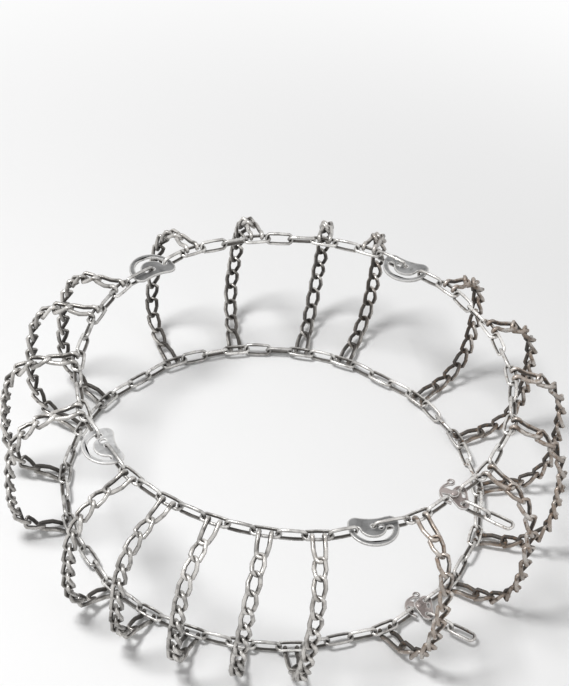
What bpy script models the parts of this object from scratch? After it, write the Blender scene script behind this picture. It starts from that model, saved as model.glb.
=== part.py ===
"""Tyre snow chain for a large truck tyre, in the shape it has when it is fitted and closed.

Two side chains lie as rings on the tyre's sidewalls, nineteen twisted-link cross chains join them
over the tread, four cam tensioners sit in the outer ring, and each ring closes with a lever
fastener that carries two spare links. Metres, +Z along the wheel's axis towards its outer face,
origin at the wheel's centre.
"""
import math

import bmesh
import bpy
import numpy as np
from mathutils import Matrix, Vector

# ---- Wire and links ----
GAP = 0.0003              # air between two pieces that rest on each other
BAR_PLAY = 0.0008         # air round a link's bar in a plate's hole or slot
SEAT = 0.0004             # how deep two links of one piece of chain sink into each other
WIRE_SIDES = 3            # flats round a wire
WIRE_SWELL = 1.08         # corner radius of the flat-sided wire over the round wire's radius
MITRE_LIMIT = math.radians(70.0)   # a sharper corner isn't swelled

SIDE_WIRE = 0.0068        # wire diameter of the side chains
SIDE_PITCH = 0.047
SIDE_WIDTH = 0.0275
SIDE_END = 0.0062         # half the straight bar at a link's end
SIDE_SHOULDER = 0.0080    # length over which a link narrows to that bar

CROSS_WIRE = 0.0084       # wire diameter of the cross chains
CROSS_LINKS = 10
CROSS_WIDTH = 0.031
CROSS_END = 0.0085
CROSS_TWIST = math.radians(42.0)   # turn of each end bar out of the link's own plane

HOOK_LENGTH = 0.047       # side chain wire to the first cross link
HOOK_SPREAD = 0.0113      # half the distance between a hook's two prongs
HOOK_BEND = 0.0065        # half the bar at the closed end
HOOK_SHOULDER = 0.0110
HOOK_CURL = math.radians(40.0), math.radians(205.0)   # a prong's way round the side chain's wire
HOOK_CURL_STEPS = 4

# ---- Rings ----
# Links from one cross chain to the next, counted from hooked link to hooked link.
SPANS = (3, 3, "cam", 2, 3, 3, "cam", 2, 3, 3, "cam", 2, 2, 2, 2, "cam", "fastener", 3, 3)
CAM_SPAN_LINKS = 4        # what a cam and its two links take up in the ring without cams
RING_HEIGHT = 0.147       # side chain to the wheel's mid-plane
RING_SHIFT = Vector((0.013, 0.008, 0.0))   # the tensioned ring sits off the wheel's axis
RING_START = math.radians(8.0)             # first hooked link
INNER_PIECES = 5          # lengths of chain that the inner ring is made of

# ---- Run of a cross chain over the tyre: a superellipse in the wheel's radial plane ----
RUN_CENTRE = 0.395
RUN_DEPTH = 0.156
RUN_HALF_WIDTH = 0.1495
RUN_POWER = 3.2
RUN_STEPS = 400

# ---- Cam tensioner ----
PLATE = 0.0050            # plate thickness of cams
CAM_RADIUS = 0.0470       # outer edge of the half ring
CAM_REACH = 0.0310        # link hole to the middle of the slot
CAM_LINK_PITCH = 0.0620   # the long link in the round hole, which the half ring swings through
CAM_TAKE_UP = 0.0011      # how far the slot's centre lies from the link hole
CAM_SLOT = math.radians(10.0), math.radians(170.0)
CAM_LOBE_RADIUS = 0.0155
CAM_LOBE_LIFT = 0.0085
CAM_NECK = 0.0190         # hole to the waisted edge
CAM_LOBE_TURN = math.radians(110.0)
CAM_KEY = 0.0120, 0.0076  # length and width of the key slot
CAM_KEY_PLACE = -0.0140, 0.0020
CAM_KEY_TURN = math.radians(75.0)
CAM_FACES = ("X", "", "Y", "")   # axis about which a cam is turned over before it is fitted

# ---- Lever fastener ----
FASTENER_REACH = 0.0340   # link hole to the latched link's wire
FASTENER_PLATE = 0.0042
RIVET_PLACE = 0.0170      # link hole to the lever's rivet
RIVET_RADIUS = 0.0035
RIVET_HEAD = 0.0062
RIVET_FLATS = 8
RIVET_HEAD_HEIGHT = 0.0016
RIVET_CROWN = 0.0037      # flat top of a rivet's head
LEVER_HUB = 0.0090
LEVER_BAND = 0.0070       # width of the curved finger
LEVER_TIP = math.radians(32.0)            # end of the curved finger, past the caught link
LEVER_ARM = math.radians(-62.0)           # arm from the hub to the finger
LEVER_ARM_SPREAD = math.radians(22.0)     # half the arm's foot on the finger
LEVER_HUB_SPREAD = math.radians(45.0)     # half the hub's rim that the arm covers
LEVER_END = math.radians(-125.0)          # line of the handle's eye
LEVER_EYE_RIM = math.radians(180.0), math.radians(465.0)   # free rim of the eye, from that line
LEVER_EYE_JOIN = math.radians(6.0), math.radians(15.7)     # where the finger's edges meet the eye
LEVER_HANDLE = 0.0296     # rivet to the middle of the handle's eye
LEVER_EYE = 0.0080
LEVER_EYE_HOLE = 0.0038
EYE_WALL = 0.0080         # metal round a link hole
HUB_RIM = 0.0015          # how far the plate stands out round the lever's hub
TAIL_HOLE = Vector((0.0215, 0.0270, 0.0))
FASTENER_SLOT = 0.0120, 0.0050
FASTENER_SLOT_PLACE = 0.0045, 0.0125
FASTENER_SLOT_TURN = math.radians(50.0)
TAIL_ANGLE = math.radians(105.0)

# ---- How finely arcs are drawn ----
ARC_STEP = math.radians(30.0)
CAM_STEP = math.radians(18.0)
HOLE_STEP = math.radians(60.0)
WAIST_STEPS = 4


def wire_radius(diameter):
    """Corner radius of the flat-sided wire that stands for a round one."""
    return diameter / 2 * WIRE_SWELL


SIDE_R = wire_radius(SIDE_WIRE)
CROSS_R = wire_radius(CROSS_WIRE)
SIDE_HALF = (SIDE_WIDTH - SIDE_WIRE) / 2      # link's middle to its long wires
HOLE_RADIUS = (SIDE_R + BAR_PLAY) / math.cos(HOLE_STEP / 2)
RIVET_HOLE = (RIVET_RADIUS + GAP) / math.cos(HOLE_STEP / 2)


# ---- Scene ----

def new_collection(name):
    collection = bpy.data.collections.new(name)
    bpy.context.scene.collection.children.link(collection)
    return collection


def make_material(name, colour, roughness, metallic):
    material = bpy.data.materials.new(name)
    material.use_nodes = True
    shader = material.node_tree.nodes["Principled BSDF"]
    shader.inputs["Base Color"].default_value = (*colour, 1.0)
    shader.inputs["Roughness"].default_value = roughness
    shader.inputs["Metallic"].default_value = metallic
    return material


def add_object(name, mesh, material, pivot=None):
    """Put a mesh that is in world places into the scene, with its origin on its pivot."""
    pivot = pivot or Vector()
    mesh.transform(Matrix.Translation(-pivot))
    mesh.name = name
    mesh.materials.clear()
    mesh.materials.append(material)
    obj = bpy.data.objects.new(name, mesh)
    obj.location = pivot
    PARTS.objects.link(obj)
    return obj


def evaluated_mesh(obj):
    """The mesh that an object's curve or modifiers make; the object itself goes."""
    PARTS.objects.link(obj)
    graph = bpy.context.evaluated_depsgraph_get()
    mesh = bpy.data.meshes.new_from_object(obj.evaluated_get(graph))
    bpy.data.objects.remove(obj)
    return mesh


def welded(mesh):
    """Close a curve's loose caps."""
    work = bmesh.new()
    work.from_mesh(mesh)
    bmesh.ops.remove_doubles(work, verts=work.verts, dist=1e-6)
    bmesh.ops.recalc_face_normals(work, faces=work.faces)
    work.to_mesh(mesh)
    work.free()
    return mesh


def joined(meshes):
    """One mesh that holds several."""
    work = bmesh.new()
    for mesh in meshes:
        work.from_mesh(mesh)
    result = bpy.data.meshes.new("joined")
    work.to_mesh(result)
    work.free()
    return result


def fused(meshes):
    """A length of chain as one solid: every second link united with those between them."""
    if len(meshes) == 1:
        return meshes[0]
    first = bpy.data.objects.new("first", joined(meshes[0::2]))
    second = bpy.data.objects.new("second", joined(meshes[1::2]))
    CUTTERS.objects.link(second)
    second.hide_render = True
    second.display_type = "WIRE"
    union = first.modifiers.new("union", "BOOLEAN")
    union.operation = "UNION"
    union.solver = "EXACT"
    union.object = second
    mesh = evaluated_mesh(first)
    bpy.data.objects.remove(second)
    return mesh


# ---- Wire forms ----

def section(radius):
    """A wire's flat-sided section, with a corner towards the inside of a ring."""
    curve = bpy.data.curves.new("section", "CURVE")
    curve.dimensions = "2D"
    spline = curve.splines.new("POLY")
    spline.points.add(WIRE_SIDES - 1)
    spline.use_cyclic_u = True
    for index, point in enumerate(spline.points):
        angle = math.pi - math.tau * index / WIRE_SIDES
        point.co = (radius * math.cos(angle), radius * math.sin(angle), 0, 1)
    obj = bpy.data.objects.new("section", curve)
    CUTTERS.objects.link(obj)
    return obj


def mitre(before, here, after):
    """Swell that keeps a bent wire's full width through its corner."""
    turn = (Vector(here) - Vector(before)).angle(Vector(after) - Vector(here))
    return 1 / math.cos(turn / 2) if turn < MITRE_LIMIT else 1.0


def wire(points, radius, ring, twist_mode):
    """A bent wire along the points, closed on itself where it is a ring."""
    curve = bpy.data.curves.new("wire", "CURVE")
    curve.dimensions = "3D"
    spline = curve.splines.new("POLY")
    spline.points.add(len(points) - 1)
    spline.use_cyclic_u = ring
    count = len(points)
    for index, point in enumerate(spline.points):
        point.co = (*points[index], 1)
        if ring or 0 < index < count - 1:
            point.radius = mitre(points[index - 1], points[index], points[(index + 1) % count])
    profile = section(radius)
    curve.bevel_mode = "OBJECT"
    curve.bevel_object = profile
    curve.use_fill_caps = not ring
    curve.twist_mode = twist_mode
    mesh = evaluated_mesh(bpy.data.objects.new("wire", curve))
    bpy.data.objects.remove(profile)
    return welded(mesh)


def bar_offset(radius, free):
    """Joint to the middle of a link's end bar: clear of its neighbour, or sunk into it."""
    return radius + GAP / 2 if free else radius - SEAT


def side_link(pitch, free_start=False, free_end=False):
    """A straight-sided oval link along X, flat in XY."""
    start = -pitch / 2 - bar_offset(SIDE_R, free_start)
    end = pitch / 2 + bar_offset(SIDE_R, free_end)
    half = ((end, SIDE_END), (end - SIDE_SHOULDER, SIDE_HALF),
            (start + SIDE_SHOULDER, SIDE_HALF), (start, SIDE_END))
    points = [(x, y, 0) for x, y in half] + [(x, -y, 0) for x, y in reversed(half)]
    return wire(points, SIDE_R, True, "Z_UP")


def cross_link(pitch):
    """A twisted link along X: its middle lies flat and its end bars turn opposite ways."""
    side = (CROSS_WIDTH - CROSS_WIRE) / 2
    corner = math.pi / 2 - math.atan((side - CROSS_END) / (pitch / 2))
    end = pitch / 2 + bar_offset(CROSS_R * math.cos(corner / 2), False)
    flat = ((end, CROSS_END), (0, side), (-end, CROSS_END),
            (-end, -CROSS_END), (0, -side), (end, -CROSS_END))
    points = []
    for x, y in flat:
        turn = CROSS_TWIST * x / end
        points.append((x, y * math.cos(turn), y * math.sin(turn)))
    return wire(points, CROSS_R, True, "Z_UP")


def cross_hook():
    """A hairpin along X whose two prongs curl over a wire that lies along Y at the origin."""
    first, last = HOOK_CURL
    turn = (last - first) / (HOOK_CURL_STEPS - 1)
    curl = (SIDE_R + GAP + CROSS_R) / math.cos(turn / 2)
    end = HOOK_LENGTH + bar_offset(CROSS_R, False)
    prong = [(end, HOOK_BEND, 0), (end - HOOK_SHOULDER, HOOK_SPREAD, 0)]
    for step in range(HOOK_CURL_STEPS):
        angle = first + turn * step
        prong.append((curl * math.cos(angle), HOOK_SPREAD, curl * math.sin(angle)))
    other = [(x, -y, z) for x, y, z in prong]
    return wire(prong[::-1] + other, CROSS_R, False, "MINIMUM")


def frame_between(start, end, up):
    """Matrix that lays local X from start to end about their middle, with Z near up."""
    x_axis = (end - start).normalized()
    y_axis = up.cross(x_axis).normalized()
    z_axis = x_axis.cross(y_axis)
    matrix = Matrix((x_axis, y_axis, z_axis)).transposed().to_4x4()
    matrix.translation = (start + end) / 2
    return matrix


def placed(mesh, matrix):
    mesh.transform(matrix)
    return mesh


# ---- Rings of side chain ----

def connector_length(kind):
    """Link to link through a cam or a fastener."""
    reach = CAM_REACH if kind == "cam" else FASTENER_REACH
    return reach + 2 * bar_offset(SIDE_R, True)


def hole_link_pitch(kind):
    """Pitch of the link in a cam's or a fastener's link hole."""
    return CAM_LINK_PITCH if kind == "cam" else SIDE_PITCH


def straight_length(span, with_cams):
    """Length between two hooked links, which the chain runs through in a straight line."""
    if span == "fastener" or (span == "cam" and with_cams):
        return SIDE_PITCH + hole_link_pitch(span) + connector_length(span)
    links = CAM_SPAN_LINKS if span == "cam" else span
    return (links - 1) * SIDE_PITCH


def span_angle(length, radius):
    """Angle from one hooked link to the next on a ring of this radius."""
    half_link = SIDE_PITCH / 2
    chord_radius = math.hypot(radius, half_link)
    return 2 * math.asin(length / (2 * chord_radius)) + 2 * math.atan(half_link / radius)


def closing_radius(lengths):
    """Radius at which the spans go round the ring exactly once."""
    low = sum(lengths) / math.tau * 0.9
    high = low * 2
    for _ in range(60):
        middle = (low + high) / 2
        total = sum(span_angle(length, middle) for length in lengths)
        low, high = (middle, high) if total > math.tau else (low, middle)
    return (low + high) / 2


class Ring:
    """Places of the hooked links of one side chain; side is 1 outside and -1 inside."""

    def __init__(self, side):
        self.side = side
        self.up = Vector((0, 0, side))
        self.centre = RING_SHIFT * side + Vector((0, 0, RING_HEIGHT * side))
        lengths = [straight_length(span, side > 0) for span in SPANS]
        self.radius = closing_radius(lengths)
        turns = [span_angle(length, self.radius) for length in lengths]
        self.angles = [RING_START + sum(turns[:index]) for index in range(len(SPANS))]

    def hooked(self, index):
        """Middle, outward direction and anticlockwise direction of a hooked link."""
        angle = self.angles[index % len(SPANS)]
        out = Vector((math.cos(angle), math.sin(angle), 0))
        along = Vector((-math.sin(angle), math.cos(angle), 0))
        return self.centre + out * self.radius, out, along

    def span_ends(self, index):
        """The joints at the two ends of a span's straight run."""
        here, _, along = self.hooked(index)
        there, _, along_there = self.hooked(index + 1)
        half = SIDE_PITCH / 2
        return here + along * half, there - along_there * half

    def hooked_link(self, index, free_start, free_end):
        here, _, along = self.hooked(index)
        half = along * (SIDE_PITCH / 2)
        mesh = side_link(SIDE_PITCH, free_start, free_end)
        return placed(mesh, frame_between(here - half, here + half, Vector((0, 0, 1))))

    def run_link(self, index, place, count, free_start):
        """Link of a plain run; the links between two flat ones share out the half turn."""
        start, end = self.span_ends(index)
        step = (end - start) / (count - 1)
        quarter = math.pi / 2 if count % 2 == 0 else math.pi / count
        matrix = frame_between(start + step * (place - 1), start + step * place, Vector((0, 0, 1)))
        roll = Matrix.Rotation(quarter * place, 4, "X")
        return placed(side_link(step.length, free_start), matrix @ roll)

    def upright_link(self, start, end):
        """Link that stands on edge, so that a plate fits between its two long wires."""
        matrix = frame_between(start, end, Vector((0, 0, 1))) @ Matrix.Rotation(math.pi / 2, 4, "X")
        return placed(side_link((end - start).length, True, True), matrix)

    def connector(self, index):
        """Frame in a cam's or fastener's link hole: X towards the caught link, Y outwards."""
        start, end = self.span_ends(index)
        back = (start - end).normalized()
        hole = end + back * (hole_link_pitch(SPANS[index]) + bar_offset(SIDE_R, True))
        z_axis = Vector((0, 0, 1))
        matrix = Matrix((back, z_axis.cross(back), z_axis)).transposed().to_4x4()
        matrix.translation = hole
        return matrix


def connector_links(ring, index, names):
    """The two upright links that a cam or a fastener joins."""
    start, end = ring.span_ends(index)
    along = (end - start).normalized()
    hole_joint = end - along * hole_link_pitch(SPANS[index])
    add_object(names[0], ring.upright_link(hole_joint, end), SIDE_STEEL)
    add_object(names[1], ring.upright_link(start, start + along * SIDE_PITCH), SIDE_STEEL)


def chain_piece(ring, first, last, skip_first=False):
    """Length of side chain from one hooked link to another, as one solid.

    A piece that follows another starts at the link after the hooked one they share.
    """
    meshes = []
    for index in range(first, last + 1):
        if index > first or not skip_first:
            meshes.append(ring.hooked_link(index, index == first, index == last))
        if index == last:
            break
        span = SPANS[index % len(SPANS)]
        count = CAM_SPAN_LINKS if span == "cam" else span
        for place in range(1, count):
            free = skip_first and index == first and place == 1
            meshes.append(ring.run_link(index, place, count, free))
    return fused(meshes)


def outer_pieces():
    """First and last hooked link of each length of chain between two connectors."""
    breaks = [index for index, span in enumerate(SPANS) if span in ("cam", "fastener")]
    pieces = []
    for number, index in enumerate(breaks):
        following = breaks[(number + 1) % len(breaks)]
        first = index + 1
        last = following if following > index else following + len(SPANS)
        pieces.append((first, last))
    return pieces


def make_side_chains(rings):
    outer, inner = rings
    for number, (first, last) in enumerate(outer_pieces(), 1):
        add_object(f"outer_side_chain_{number}", chain_piece(outer, first, last), SIDE_STEEL)
    opening = SPANS.index("fastener")
    hooked = list(range(opening + 1, opening + 1 + len(SPANS)))
    cuts = [round(number * (len(hooked) - 1) / INNER_PIECES) for number in range(INNER_PIECES + 1)]
    for number in range(INNER_PIECES):
        first, last = hooked[cuts[number]], hooked[cuts[number + 1]]
        mesh = chain_piece(inner, first, last, number > 0)
        add_object(f"inner_side_chain_{number + 1}", mesh, SIDE_STEEL)


# ---- Cross chains ----

def run_profile():
    """Arc length, radius and height along the cross chains' run, from outside to inside."""
    angles = np.linspace(0.0, math.pi, RUN_STEPS + 1)
    sine, cosine = np.sin(angles), np.cos(angles)
    radius = RUN_CENTRE + RUN_DEPTH * np.abs(sine) ** (2 / RUN_POWER)
    height = RUN_HALF_WIDTH * np.sign(cosine) * np.abs(cosine) ** (2 / RUN_POWER)
    steps = np.hypot(np.diff(radius), np.diff(height))
    length = np.concatenate(([0.0], np.cumsum(steps)))
    return length, radius, height


def run_length_at(profile, radius, side):
    """Arc length at which the run passes this radius on one sidewall."""
    length, radii, _ = profile
    half = RUN_STEPS // 2
    if side > 0:
        return float(np.interp(radius, radii[:half + 1], length[:half + 1]))
    return float(np.interp(radius, radii[:half - 1:-1], length[:half - 1:-1]))


def cross_chain(rings, index, profile):
    """One cross chain: a hook over each ring's hooked link and the twisted links between."""
    wires = []
    for ring in rings:
        middle, out, _ = ring.hooked(index)
        wires.append(middle + out * SIDE_HALF)
    starts = [run_length_at(profile, math.hypot(place.x, place.y), ring.side)
              for place, ring in zip(wires, rings)]
    bearings = [math.atan2(place.y, place.x) for place in wires]
    turn = (bearings[1] - bearings[0] + math.pi) % math.tau - math.pi

    def on_run(distance):
        share = (distance - starts[0]) / (starts[1] - starts[0])
        bearing = bearings[0] + turn * share
        radius = float(np.interp(distance, profile[0], profile[1]))
        height = float(np.interp(distance, profile[0], profile[2]))
        return Vector((radius * math.cos(bearing), radius * math.sin(bearing), height))

    first = starts[0] + HOOK_LENGTH
    last = starts[1] - HOOK_LENGTH
    joints = [on_run(first + (last - first) * step / CROSS_LINKS) for step in range(CROSS_LINKS + 1)]
    meshes = [hook_at(rings[0], index, wires[0], joints[0])]
    for start, end in zip(joints, joints[1:]):
        middle = (start + end) / 2
        axis_point = Vector((middle.x, middle.y, 0)).normalized() * RUN_CENTRE
        away = (middle - axis_point).normalized()
        meshes.append(placed(cross_link((end - start).length), frame_between(start, end, away)))
    meshes.append(hook_at(rings[1], index, wires[1], joints[-1]))
    return fused(meshes)


def hook_at(ring, index, wire_place, joint):
    """A hook over the hooked link's outer wire that points at the first cross link."""
    _, _, along = ring.hooked(index)
    y_axis = along
    x_axis = joint - wire_place
    x_axis = (x_axis - y_axis * x_axis.dot(y_axis)).normalized()
    z_axis = x_axis.cross(y_axis)
    if z_axis.dot(ring.up) < 0:
        y_axis, z_axis = -y_axis, -z_axis
    matrix = Matrix((x_axis, y_axis, z_axis)).transposed().to_4x4()
    matrix.translation = wire_place
    return placed(cross_hook(), matrix)


def make_cross_chains(rings):
    profile = run_profile()
    for index in range(len(SPANS)):
        add_object(f"cross_chain_{index + 1:02d}", cross_chain(rings, index, profile), CROSS_STEEL)


# ---- Plates ----

def arc(centre, radius, start, end, step=ARC_STEP):
    """Points of an arc, both ends included."""
    count = max(1, math.ceil(abs(end - start) / step))
    angles = [start + (end - start) * index / count for index in range(count + 1)]
    return [Vector((centre[0] + radius * math.cos(a), centre[1] + radius * math.sin(a), 0))
            for a in angles]


def circle(centre, radius, step=HOLE_STEP):
    return arc(centre, radius, 0, math.tau - step, step)


def belt(rounds):
    """Outline of a plate that runs round several circles as a belt does, anticlockwise."""
    normals = []
    for number, (centre, radius) in enumerate(rounds):
        ahead, ahead_radius = rounds[(number + 1) % len(rounds)]
        way = Vector((ahead[0] - centre[0], ahead[1] - centre[1], 0))
        slant = math.acos((radius - ahead_radius) / way.length)
        normals.append(math.atan2(way.y, way.x) - slant)
    outline = []
    for number, (centre, radius) in enumerate(rounds):
        start, end = normals[number - 1], normals[number]
        outline += arc(centre, radius, start, start + (end - start) % math.tau)
    return outline


def long_hole(centre, length, width, angle):
    """A straight slot with round ends."""
    reach = (length - width) / 2
    ends = []
    for turn in (0, math.pi):
        way = angle + turn
        middle = centre[0] + reach * math.cos(way), centre[1] + reach * math.sin(way)
        ends += arc(middle, width / 2, way - math.pi / 2, way + math.pi / 2, HOLE_STEP)
    return ends


def plate(outline, holes, thickness, height=0.0):
    """A flat plate with holes; height is the middle of its thickness."""
    curve = bpy.data.curves.new("plate", "CURVE")
    curve.dimensions = "2D"
    curve.fill_mode = "BOTH"
    curve.extrude = thickness / 2
    for loop in [outline] + holes:
        spline = curve.splines.new("POLY")
        spline.points.add(len(loop) - 1)
        spline.use_cyclic_u = True
        for point, place in zip(spline.points, loop):
            point.co = (place[0], place[1], 0, 1)
    mesh = welded(evaluated_mesh(bpy.data.objects.new("plate", curve)))
    mesh.transform(Matrix.Translation((0, 0, height)))
    return mesh


def cam_outline():
    """Half ring below a waisted hub: the edge runs outer arc, lobe, waist, lobe."""
    lobe_x = CAM_RADIUS - CAM_LOBE_RADIUS
    edge = arc((0, 0), CAM_RADIUS, 0, math.pi, CAM_STEP)
    left = arc((-lobe_x, -CAM_LOBE_LIFT), CAM_LOBE_RADIUS, math.pi, math.pi + CAM_LOBE_TURN)
    right = arc((lobe_x, -CAM_LOBE_LIFT), CAM_LOBE_RADIUS, math.tau - CAM_LOBE_TURN, math.tau)
    start, end = left[-1], right[0]
    waist = []
    for step in range(1, WAIST_STEPS):
        share = 2 * step / WAIST_STEPS - 1
        x = start.x + (end.x - start.x) * step / WAIST_STEPS
        waist.append(Vector((x, -CAM_NECK + (start.y + CAM_NECK) * share * share, 0)))
    return edge + left + waist + right


def cam_slot():
    """Crescent slot about a centre that lies off the link hole, which gives the take-up."""
    half = SIDE_R + BAR_PLAY + CAM_TAKE_UP
    centre = (CAM_TAKE_UP, 0)
    start, end = CAM_SLOT

    def end_cap(angle, first):
        middle = (centre[0] + CAM_REACH * math.cos(angle), CAM_REACH * math.sin(angle))
        return arc(middle, half, first, first + math.pi, HOLE_STEP)[1:-1]

    outer = arc(centre, (CAM_REACH + half) / math.cos(CAM_STEP / 2), start, end, CAM_STEP)
    inner = arc(centre, CAM_REACH - half, end, start, CAM_STEP)
    return outer + end_cap(end, end) + inner + end_cap(start, start + math.pi)


def cam_matrix(ring, index, face):
    """Place of a cam: one end of its slot is at the caught link, whichever way up it lies."""
    turned_over = Matrix.Rotation(math.pi, 4, face) if face else Matrix()
    end = CAM_SLOT[1] if face == "Y" else CAM_SLOT[0]
    caught = turned_over @ Vector((math.cos(end), math.sin(end), 0))
    turn = Matrix.Rotation(-math.atan2(caught.y, caught.x), 4, "Z")
    return ring.connector(index) @ turn @ turned_over


def make_cams(ring):
    """Cams lie flat in the ring; each turns about the link in its round hole."""
    number = 0
    for index, span in enumerate(SPANS):
        if span != "cam":
            continue
        number += 1
        connector_links(ring, index, (f"cam_{number}_hole_link", f"cam_{number}_slot_link"))
        key = long_hole(CAM_KEY_PLACE, *CAM_KEY, CAM_KEY_TURN)
        mesh = plate(cam_outline(), [circle((0, 0), HOLE_RADIUS), cam_slot(), key], PLATE)
        matrix = cam_matrix(ring, index, CAM_FACES[number - 1])
        add_object(f"tensioner_cam_{number}", placed(mesh, matrix), CAM_ZINC, matrix.translation)


# ---- Lever fasteners ----

def fastener_plate_mesh(height):
    """Plate with the link hole, the rivet hole, a slot and the eye for the spare links."""
    eye = HOLE_RADIUS + EYE_WALL
    rivet = (RIVET_PLACE, 0)
    outline = belt([((0, 0), eye), (rivet, LEVER_HUB + HUB_RIM), (TAIL_HOLE, eye)])
    holes = [circle((0, 0), HOLE_RADIUS), circle(rivet, RIVET_HOLE), circle(TAIL_HOLE, HOLE_RADIUS),
             long_hole(FASTENER_SLOT_PLACE, *FASTENER_SLOT, FASTENER_SLOT_TURN)]
    return plate(outline, holes, FASTENER_PLATE, height)


def fastener_lever_mesh(height):
    """Lever on the rivet: a hub, an arm, and a curved finger from the handle's eye to its tip.

    The finger is concentric with the rivet and passes through the caught link.
    """
    inner = (FASTENER_REACH - RIVET_PLACE + SIDE_R + BAR_PLAY) / math.cos(CAM_STEP / 2)
    outer = inner + LEVER_BAND
    centre = (RIVET_PLACE, 0)
    eye = (RIVET_PLACE + LEVER_HANDLE * math.cos(LEVER_END), LEVER_HANDLE * math.sin(LEVER_END))
    inner_join, outer_join = LEVER_EYE_JOIN
    outline = arc(centre, outer, LEVER_END + outer_join, LEVER_TIP, CAM_STEP)
    outline += arc(centre, inner, LEVER_TIP, LEVER_ARM + LEVER_ARM_SPREAD, CAM_STEP)
    outline += arc(centre, LEVER_HUB, LEVER_ARM + LEVER_HUB_SPREAD,
                   LEVER_ARM + math.tau - LEVER_HUB_SPREAD)
    outline += arc(centre, inner, LEVER_ARM - LEVER_ARM_SPREAD, LEVER_END + inner_join, CAM_STEP)
    outline += arc(eye, LEVER_EYE, LEVER_END + LEVER_EYE_RIM[0], LEVER_END + LEVER_EYE_RIM[1])[1:-1]
    holes = [circle(centre, RIVET_HOLE), circle(eye, LEVER_EYE_HOLE)]
    return plate(outline, holes, FASTENER_PLATE, height)


def rivet_mesh():
    """Rivet with a head over each plate, turned about its own axis."""
    grip = FASTENER_PLATE + 2 * GAP
    profile = ((RIVET_CROWN, grip + RIVET_HEAD_HEIGHT), (RIVET_HEAD, grip),
               (RIVET_RADIUS, grip), (RIVET_RADIUS, -grip), (RIVET_HEAD, -grip),
               (RIVET_CROWN, -grip - RIVET_HEAD_HEIGHT))
    mesh = bpy.data.meshes.new("rivet")
    work = bmesh.new()
    corners = [work.verts.new((0, 0, profile[0][1]))]
    corners += [work.verts.new((x, 0, z)) for x, z in profile]
    corners.append(work.verts.new((0, 0, profile[-1][1])))
    for start, end in zip(corners, corners[1:]):
        work.edges.new((start, end))
    work.to_mesh(mesh)
    work.free()
    obj = bpy.data.objects.new("rivet", mesh)
    screw = obj.modifiers.new("turn", "SCREW")
    screw.steps = RIVET_FLATS
    screw.render_steps = RIVET_FLATS
    screw.use_merge_vertices = True
    screw.merge_threshold = 1e-5
    return welded(evaluated_mesh(obj))


def make_fastener(ring, prefix):
    """Plate and lever lie on each other, with the rivet through both, and two spare links."""
    index = SPANS.index("fastener")
    connector_links(ring, index, (f"{prefix}_fastener_link", f"{prefix}_latched_link"))
    matrix = ring.connector(index)
    lift = (FASTENER_PLATE / 2 + GAP / 2) * ring.side
    rivet_place = matrix @ Vector((RIVET_PLACE, 0, 0))
    add_object(f"{prefix}_fastener_plate", placed(fastener_plate_mesh(-lift), matrix), FASTENER_ZINC)
    add_object(f"{prefix}_fastener_lever", placed(fastener_lever_mesh(lift), matrix),
               FASTENER_ZINC, rivet_place)
    add_object(f"{prefix}_fastener_rivet", placed(rivet_mesh(), Matrix.Translation(rivet_place)),
               FASTENER_ZINC)
    direction = matrix.to_3x3() @ Vector((math.cos(TAIL_ANGLE), math.sin(TAIL_ANGLE), 0))
    hole = matrix @ TAIL_HOLE
    start = hole + direction * bar_offset(SIDE_R, True)
    middle = start + direction * SIDE_PITCH
    add_object(f"{prefix}_spare_link_1", ring.upright_link(start, middle), SIDE_STEEL, hole)
    end = middle + direction * SIDE_PITCH
    flat = placed(side_link(SIDE_PITCH, True, True), frame_between(middle, end, Vector((0, 0, 1))))
    add_object(f"{prefix}_spare_link_2", flat, SIDE_STEEL, middle)


# ---- Build ----

for old in list(bpy.data.objects):
    bpy.data.objects.remove(old)

PARTS = new_collection("tyre_snow_chain")
CUTTERS = new_collection("cutters")
SIDE_STEEL = make_material("side_chain_steel", (0.55, 0.54, 0.52), 0.35, 0.9)
CROSS_STEEL = make_material("cross_chain_steel", (0.30, 0.28, 0.26), 0.42, 0.85)
CAM_ZINC = make_material("cam_zinc", (0.48, 0.49, 0.50), 0.5, 0.7)
FASTENER_ZINC = make_material("fastener_zinc", (0.50, 0.48, 0.46), 0.45, 0.8)

RINGS = (Ring(1), Ring(-1))
make_side_chains(RINGS)
make_cross_chains(RINGS)
make_cams(RINGS[0])
make_fastener(RINGS[0], "outer")
make_fastener(RINGS[1], "inner")
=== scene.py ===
# %% [markdown]
# # A snow chain for a large truck tyre
#
# The chain lies as it does on the wheel: two rings of side chain on the tyre's sidewalls,
# nineteen twisted cross chains over the tread, four cam tensioners and a lever fastener in
# the outer ring, and a second fastener in the inner one. Almost everything here is bent
# wire, so the lesson is about making one link well, laying hundreds of copies where a rule
# says, and making worn zinc and steel look like metal.

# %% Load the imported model
import math
import random

import bmesh
import bpy
from mathutils import Matrix, Vector


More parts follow.
